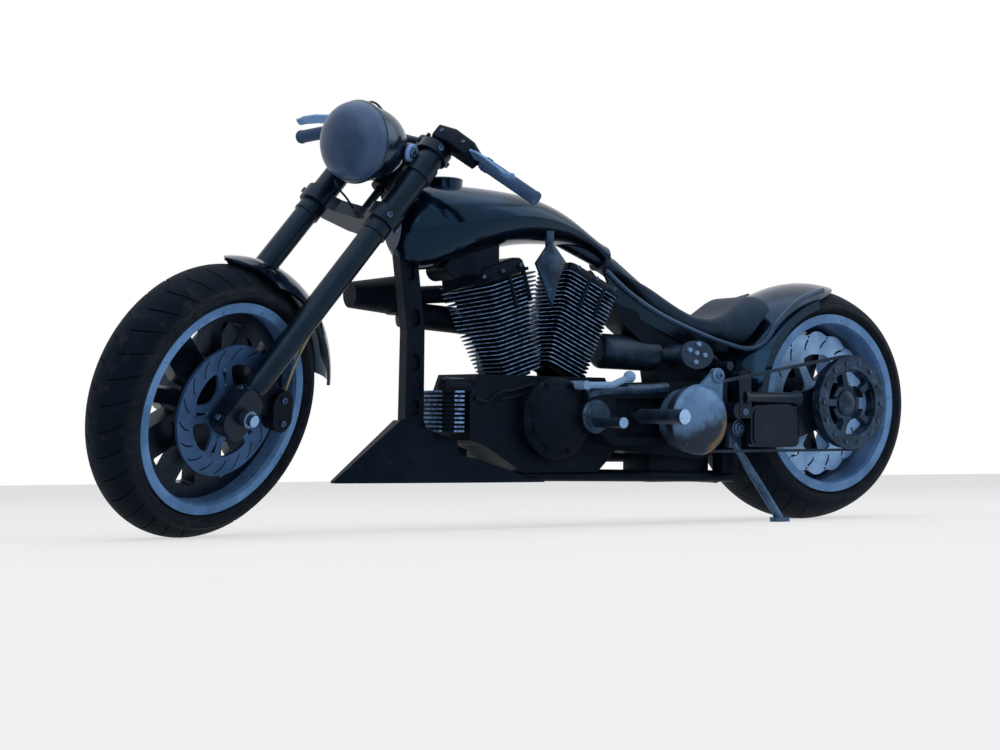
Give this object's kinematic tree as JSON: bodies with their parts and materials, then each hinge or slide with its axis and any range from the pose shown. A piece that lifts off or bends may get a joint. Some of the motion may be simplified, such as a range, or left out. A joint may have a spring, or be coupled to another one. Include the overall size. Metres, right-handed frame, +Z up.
{
  "type": "scale model chopper motorcycle",
  "caption": "Scale model of a long raked chopper with a finned V-twin, parked on its side stand; wheels, steering and stand move.",
  "frame": {"origin": "middle of the model's box on the floor that it stands on", "axes": "+X forward, +Y to the machine's left, +Z up"},
  "size_m": [0.3762, 0.1046, 0.1606],
  "materials": {
    "tyre": "matte rubber",
    "rim_silver": "hand-painted silver",
    "satin_centres": "satin black",
    "disc_silver": "brushed",
    "gloss_black": "gloss",
    "lens": "frosted",
    "seat_black": "matte",
    "fins": "fins rubbed bright at their edges",
    "bare_steel": "worn",
    "worn_silver": "worn",
    "black_steel": "satin over steel",
    "rubber_black": "matte",
    "hose_yellow": "satin",
    "satin_black": "satin"
  },
  "bodies": {
    "frame": {"air_intake": "satin_black", "backbone": "satin_black", "chin_fairing": "gloss_black", "clutch_cover": "worn_silver", "crankcase": "satin_black", "downtube": "satin_black", "drive_belt": "rubber_black", "exhaust_pipes": "satin_black", "foot_controls": "satin_black", "front_cylinder": "fins", "front_rocker_cover": "satin_black", "fuel_tank": "gloss_black", "gearbox": "satin_black", "head_tube": "satin_black", "horn_cover": "satin_black", "left_footpeg": "black_steel", "left_lower_rail": "satin_black", "left_swingarm": "satin_black", "oil_tank": "satin_black", "primary_plate": "satin_black", "rear_axle": "black_steel", "rear_caliper": "satin_black", "rear_cylinder": "fins", "rear_fender": "gloss_black", "rear_rocker_cover": "satin_black", "regulator": "fins", "right_footpeg": "black_steel", "right_lower_rail": "satin_black", "right_swingarm": "satin_black", "seat": "seat_black", "stand_bracket": "satin_black", "swingarm_pivot": "black_steel"},
    "front_end": {"bar_clamp": "satin_black", "front_axle": "black_steel", "front_brake_hose": "hose_yellow", "front_caliper": "satin_black", "front_fender": "gloss_black", "hand_grips": "rubber_black", "hand_levers": "satin_black", "handlebar": "black_steel", "headlight_ears": "satin_black", "headlight_lens": "lens", "headlight_shell": "gloss_black", "left_fork_leg": "satin_black", "lower_yoke": "satin_black", "right_fork_leg": "satin_black", "steering_stem": "black_steel", "upper_yoke": "satin_black"},
    "front_wheel": {"front_brake_disc": "disc_silver", "front_rim": "rim_silver", "front_tyre": "tyre", "front_wheel_centre": "satin_centres"},
    "rear_wheel": {"rear_brake_disc": "disc_silver", "rear_disc_carrier": "satin_centres", "rear_hub_cap": "satin_centres", "rear_pulley": "satin_centres", "rear_rim": "rim_silver", "rear_tyre": "tyre", "rear_wheel_centre": "satin_centres"},
    "side_stand": {"side_stand": "bare_steel"}
  },
  "joints": [
    {"name": "steering", "type": "hinge", "parent": "frame", "child": "front_end", "pos_m": [0.14008, -0.00189, 0.04369], "axis": [-0.6324, 0.0338, 0.7739], "range_deg": [-50.8, 0]},
    {"name": "front_wheel_spin", "type": "hinge", "parent": "front_end", "child": "front_wheel", "pos_m": [0.14267, -0.00021, 0.04574], "axis": [-0.3323, 0.8906, -0.3104], "continuous": true},
    {"name": "rear_wheel_spin", "type": "hinge", "parent": "frame", "child": "rear_wheel", "pos_m": [-0.13814, -0.00161, 0.04998], "axis": [0, 0.999, -0.0436], "continuous": true},
    {"name": "side_stand_fold", "type": "hinge", "parent": "frame", "child": "side_stand", "pos_m": [-0.08376, 0.01389, 0.03823], "axis": [0, 0.999, -0.0436], "range_deg": [-84, 0]}
  ]
}
